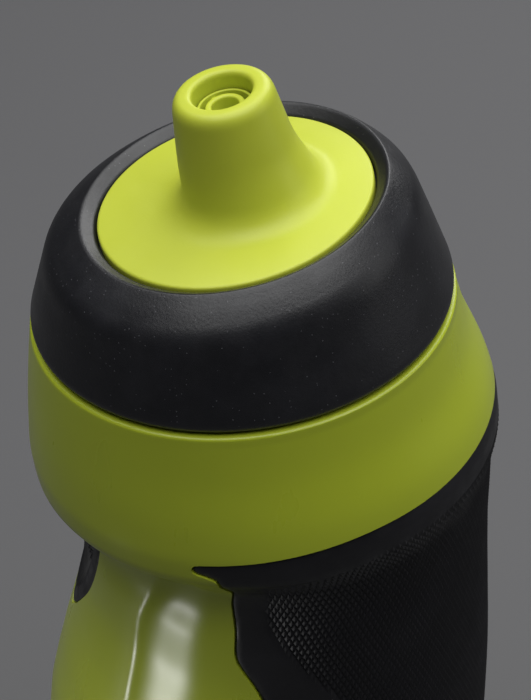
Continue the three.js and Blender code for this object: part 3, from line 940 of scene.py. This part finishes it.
class BOTTLE_OT_cap_ring(bpy.types.Operator):
    """Screw ring: a drafted wall, a soft slanted top, a fine rim and the pocket for the spout's disc"""
    bl_idname = "bottle.cap_ring"
    bl_label = "Screw ring"

    def execute(self, context):
        b, cap = sizes("body"), sizes("cap")
        head, crown = head_plane(), crown_plane()
        bore = b.neck_radius + cap.thread_depth + 0.5 * MM
        skirt = bore + 1.6 * MM
        foot = cap.bottom_radius - 1.8 * MM
        roof = b.neck_rise + 1.8 * MM
        shoulder = head.inner(-0.2 * MM, 15.1 * MM, math.radians(4.3))
        rim = shoulder.ring(cap.shoulder_radius)
        edge = head.ring(cap.bottom_radius, 1.2 * MM)
        crease = crown.ring(cap.crease_radius, 1.0 * MM)
        corners = [
            (head.ring(foot, 0), 0.3),
            (head.ring(cap.bottom_radius - 0.75 * MM, 0), 0.6),
            (edge, 1.2),
            (between(rim, edge, 0.3), 1.5),
            (between(rim, edge, -0.01), 4.2),
            (between(rim, crease, 0.5, 0.35 * MM), 2),
            (between(rim, crease, 0.88, 0.15 * MM), 0.5),
            (crease, 0.8),
            (crown.ring(cap.pocket_radius + 0.25 * MM, -0.35 * MM), 0.35),
            (crown.ring(cap.pocket_radius, -0.9 * MM), 0),
            (crown.ring(cap.pocket_radius, -2.7 * MM), 0),
            (crown.ring(19.6 * MM, -2.7 * MM), 0),
            (crown.ring(19.6 * MM, -4.4 * MM), 0),
            (crown.ring(22.8 * MM, -4.4 * MM), 0),
            (head.ring(b.neck_radius - 2.8 * MM, roof, 0.4 * MM), 0),
            (head.ring(bore, roof), 0),
            (head.ring(bore, 0.5 * MM), 0),
            (head.ring(bore + 0.5 * MM, 0), 0),
            (head.ring(skirt, 0), 0),
            (head.ring(skirt, 4 * MM), 0),
            (head.ring(foot - 0.9 * MM, 4 * MM), 0),
        ]
        ring = loft("screw_ring", rounded(corners, closed=True, steps=6), 200, closed=True)
        rib = thread_rib("cap_thread", bore, -1, 3.4 * MM - cap.thread_pitch / 2, head)
        combined(ring, rib, "UNION")
        smooth(ring, 30)
        dress(ring, "black")
        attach(ring, "cap")
        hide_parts("cap_ring")
        return {"FINISHED"}


class BOTTLE_OT_spout(bpy.types.Operator):
    """Disc and drinking spout in one moulding, with the barrel that goes through the ring"""
    bl_idname = "bottle.spout"
    bl_label = "Spout and disc"

    def execute(self, context):
        cap, s = sizes("cap"), sizes("spout")
        crown = crown_plane()
        edge = cap.pocket_radius - 0.3 * MM
        barrel = 19.2 * MM
        seat_top = s.height - 4 * MM
        seat_bottom = seat_top - 7.9 * MM

        def at(radius, height, back=s.backward):
            return crown.ring(radius, height, back)

        def taper(height):
            low, high = 5 * MM, s.height - 1.4 * MM
            return s.root_radius + (s.tip_radius - s.root_radius) * (height - low) / (high - low)

        corners = [
            (at(barrel, -2.4 * MM, 0), 0),
            (at(edge, -2.4 * MM, 0), 0.3),
            (at(edge, -0.05 * MM, 0), 0.5),
            (at(edge - 3.5 * MM, 0.45 * MM, 0.2 * s.backward), 3),
            (at(s.root_radius + 1.1 * MM, 1.0 * MM, 1.5 * s.backward), 4.2),
            (at(taper(9 * MM), 9 * MM), 2),
            (at(s.tip_radius + 0.02 * MM, s.height - 0.15 * MM), 2.2),
            (at(s.bore + 0.02 * MM, s.height), 1.0),
            (at(s.bore, seat_top), 0.2),
            (at(s.seat_radius, seat_top), 0),
            (at(s.seat_radius, seat_bottom), 0),
            (at(s.seat_radius + 1.4 * MM, seat_bottom - 2.5 * MM), 0),
            (at(s.root_radius - 1.2 * MM, 0.8 * MM, 0.9 * s.backward), 0),
            (at(barrel - 1.6 * MM, -2.4 * MM, 0), 0),
            (at(barrel - 1.6 * MM, -6.6 * MM, 0), 0),
            (at(barrel, -6.6 * MM, 0), 0),
        ]
        dome = loft("spout_and_disc", rounded(corners, closed=True, steps=8), 160, closed=True)
        smooth(dome, 35)
        dress(dome, "satin")
        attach(dome, "cap")
        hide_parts("spout_dome")
        return {"FINISHED"}


class BOTTLE_OT_valve(bpy.types.Operator):
    """Valve cage: an outer ring, a centre tube with a rounded rim, and spokes between them"""
    bl_idname = "bottle.valve"
    bl_label = "Valve cage"

    def execute(self, context):
        s = sizes("spout")
        crown = crown_plane()
        top = s.height - 4.3 * MM
        bottom = top - 3.4 * MM
        outer = s.seat_radius - 0.3 * MM
        inner = s.bore - 0.75 * MM

        def at(radius, height):
            return crown.ring(radius, height, s.backward)

        collar = s.bore - 0.3 * MM
        rim = s.height - 2.7 * MM
        wall = loft("valve_cage", rounded([
            (at(inner, bottom), 0), (at(outer, bottom), 0.2), (at(outer, top), 0.25), (at(collar, top), 0.2),
            (at(collar, rim - 0.1 * MM), 0.2), (at(inner, rim - 0.1 * MM), 0.2),
        ], closed=True), 72, closed=True)
        tube = loft("valve_tube", rounded([
            (at(s.tube_bore, bottom), 0), (at(s.tube_radius, bottom), 0), (at(s.tube_radius, rim), 0.45),
            (at(s.tube_bore, rim), 0.45),
        ], closed=True), 72, closed=True)
        combined(wall, tube, "UNION")
        start = (s.tube_bore + s.tube_radius) / 2
        end = (outer + inner) / 2
        for i in range(s.spokes):
            spoke = self.spoke(start, end, bottom, TAU * i / s.spokes)
            points = coordinates(spoke)
            points[:, 1] += s.backward
            move_points(spoke, to_plane(points, crown))
            combined(wall, spoke, "UNION")
        smooth(wall, 35)
        dress(wall, "satin")
        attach(wall, "cap")
        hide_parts("valve_insert")
        return {"FINISHED"}

    def spoke(self, start, end, bottom, angle):
        """One arm from the tube to the outer ring, its upper edges rounded."""
        deselect()
        bpy.ops.mesh.primitive_cube_add(size=1, location=(0, (start + end) / 2, bottom + 2.2 * MM))
        arm = named(bpy.context.active_object, "valve_spoke")
        arm.scale = (0.9 * MM, end - start, 4.4 * MM)
        placed()
        bevel = arm.modifiers.new("Edges", "BEVEL")
        bevel.width = 0.25 * MM
        bevel.segments = 3
        bpy.ops.object.modifier_apply(modifier=bevel.name)
        points = coordinates(arm)
        x, y = points[:, 0].copy(), points[:, 1].copy()
        points[:, 0] = x * math.cos(angle) - y * math.sin(angle)
        points[:, 1] = x * math.sin(angle) + y * math.cos(angle)
        move_points(arm, points)
        return arm


class BOTTLE_OT_inner_parts(bpy.types.Operator):
    """Finishes for the parts kept as they are: gasket, dome retainer, valve membrane and valve retainer"""
    bl_idname = "bottle.inner_parts"
    bl_label = "Inner parts"

    def execute(self, context):
        finishes = {"cap_gasket": "silicone", "dome_retainer": "black", "valve_membrane": "silicone",
                    "valve_retainer": "satin"}
        for node, finish in finishes.items():
            dress(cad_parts[node], finish)
        return {"FINISHED"}


class BOTTLE_OT_stage(bpy.types.Operator):
    """Pale floor, soft lights and the camera"""
    bl_idname = "bottle.stage"
    bl_label = "Stage"

    def execute(self, context):
        deselect()
        bpy.ops.mesh.primitive_plane_add(size=6, location=(0, 0, -0.0004))
        floor = named(placed(), "floor")
        dress(floor, "floor")
        self.light("overhead", (-0.03, 0.05, 0.88), (-0.03, 0.05, 0), 1.0, 1.1, 9.6)
        self.light("back_edge", (-0.75, 0.30, 0.60), (0, 0, 0.18), 0.6, 0.5, 3.0)
        self.light("right_side", (0.10, 0.95, 0.50), (0, 0, 0.16), 0.45, 0.7, 0.9)
        self.light("left_low", (0.072, -0.172, 0.024), (0.028, -0.016, 0.122), 0.045, 0.03, 0.0015, 20)
        scene = context.scene
        scene.world = bpy.data.worlds.new("studio")
        scene.world.use_nodes = True
        sky = scene.world.node_tree.nodes["Background"]
        sky.inputs["Color"].default_value = (0.9, 0.92, 1.0, 1.0)
        sky.inputs["Strength"].default_value = 0.035
        scene.view_settings.view_transform = "Standard"
        self.camera()
        return {"FINISHED"}

    def light(self, name, place, target, width, height, watts, spread=180):
        """A soft rectangle of light turned to a point, its beam as wide as the spread in degrees."""
        deselect()
        bpy.ops.object.light_add(type="AREA", location=place)
        lamp = bpy.context.active_object
        lamp.name = name
        lamp.data.shape = "RECTANGLE"
        lamp.data.size, lamp.data.size_y = width, height
        lamp.data.energy = watts
        lamp.data.spread = math.radians(spread)
        lamp.rotation_euler = (Vector(place) - Vector(target)).to_track_quat("Z", "Y").to_euler()
        lamp.visible_camera = False

    def camera(self):
        """A long lens on the bottle's side, looking down on the cap."""
        elevation, down = math.radians(38.03), math.radians(39.49)
        reach, aim = 0.4, 0.198
        lens, sensor = 130.1, 36
        place = (reach * math.cos(elevation), 0, aim + reach * math.sin(elevation))
        deselect()
        bpy.ops.object.camera_add(location=place, rotation=(math.pi / 2 - down, 0, math.pi / 2))
        camera = bpy.context.active_object
        camera.data.lens = lens
        camera.data.sensor_width = sensor
        camera.data.clip_start, camera.data.clip_end = 0.01, 20
        bpy.context.scene.camera = camera


class BOTTLE_PT_panel(bpy.types.Panel):
    bl_label = "Squeeze bottle"
    bl_idname = "BOTTLE_PT_panel"
    bl_space_type = "VIEW_3D"
    bl_region_type = "UI"
    bl_category = "Bottle"

    def draw(self, context):
        for operator in OPERATORS:
            self.layout.operator(operator.bl_idname)
        for group in GROUPS:
            box = self.layout.box()
            box.label(text=group.capitalize())
            settings = sizes(group)
            for name in settings.bl_rna.properties.keys():
                if name not in {"rna_type", "name"}:
                    box.prop(settings, name)


OPERATORS = (BOTTLE_OT_shell, BOTTLE_OT_grips, BOTTLE_OT_cap_ring, BOTTLE_OT_spout, BOTTLE_OT_valve,
             BOTTLE_OT_inner_parts, BOTTLE_OT_stage)
GROUPS = {"body": BodySizes, "grips": GripSizes, "cap": CapSizes, "spout": SpoutSizes,
          "colours": FinishColours}


def register():
    for cls in (*GROUPS.values(), *OPERATORS, BOTTLE_PT_panel):
        bpy.utils.register_class(cls)
    for name, cls in GROUPS.items():
        setattr(bpy.types.Scene, "bottle_" + name, PointerProperty(type=cls))


def unregister():
    for name in GROUPS:
        delattr(bpy.types.Scene, "bottle_" + name)
    for cls in (BOTTLE_PT_panel, *reversed(OPERATORS), *reversed(list(GROUPS.values()))):
        bpy.utils.unregister_class(cls)


def main():
    register()
    bpy.ops.bottle.shell()
    bpy.ops.bottle.grips()
    bpy.ops.bottle.cap_ring()
    bpy.ops.bottle.spout()
    bpy.ops.bottle.valve()
    bpy.ops.bottle.inner_parts()
    bpy.ops.bottle.stage()


if __name__ == "__main__":
    main()
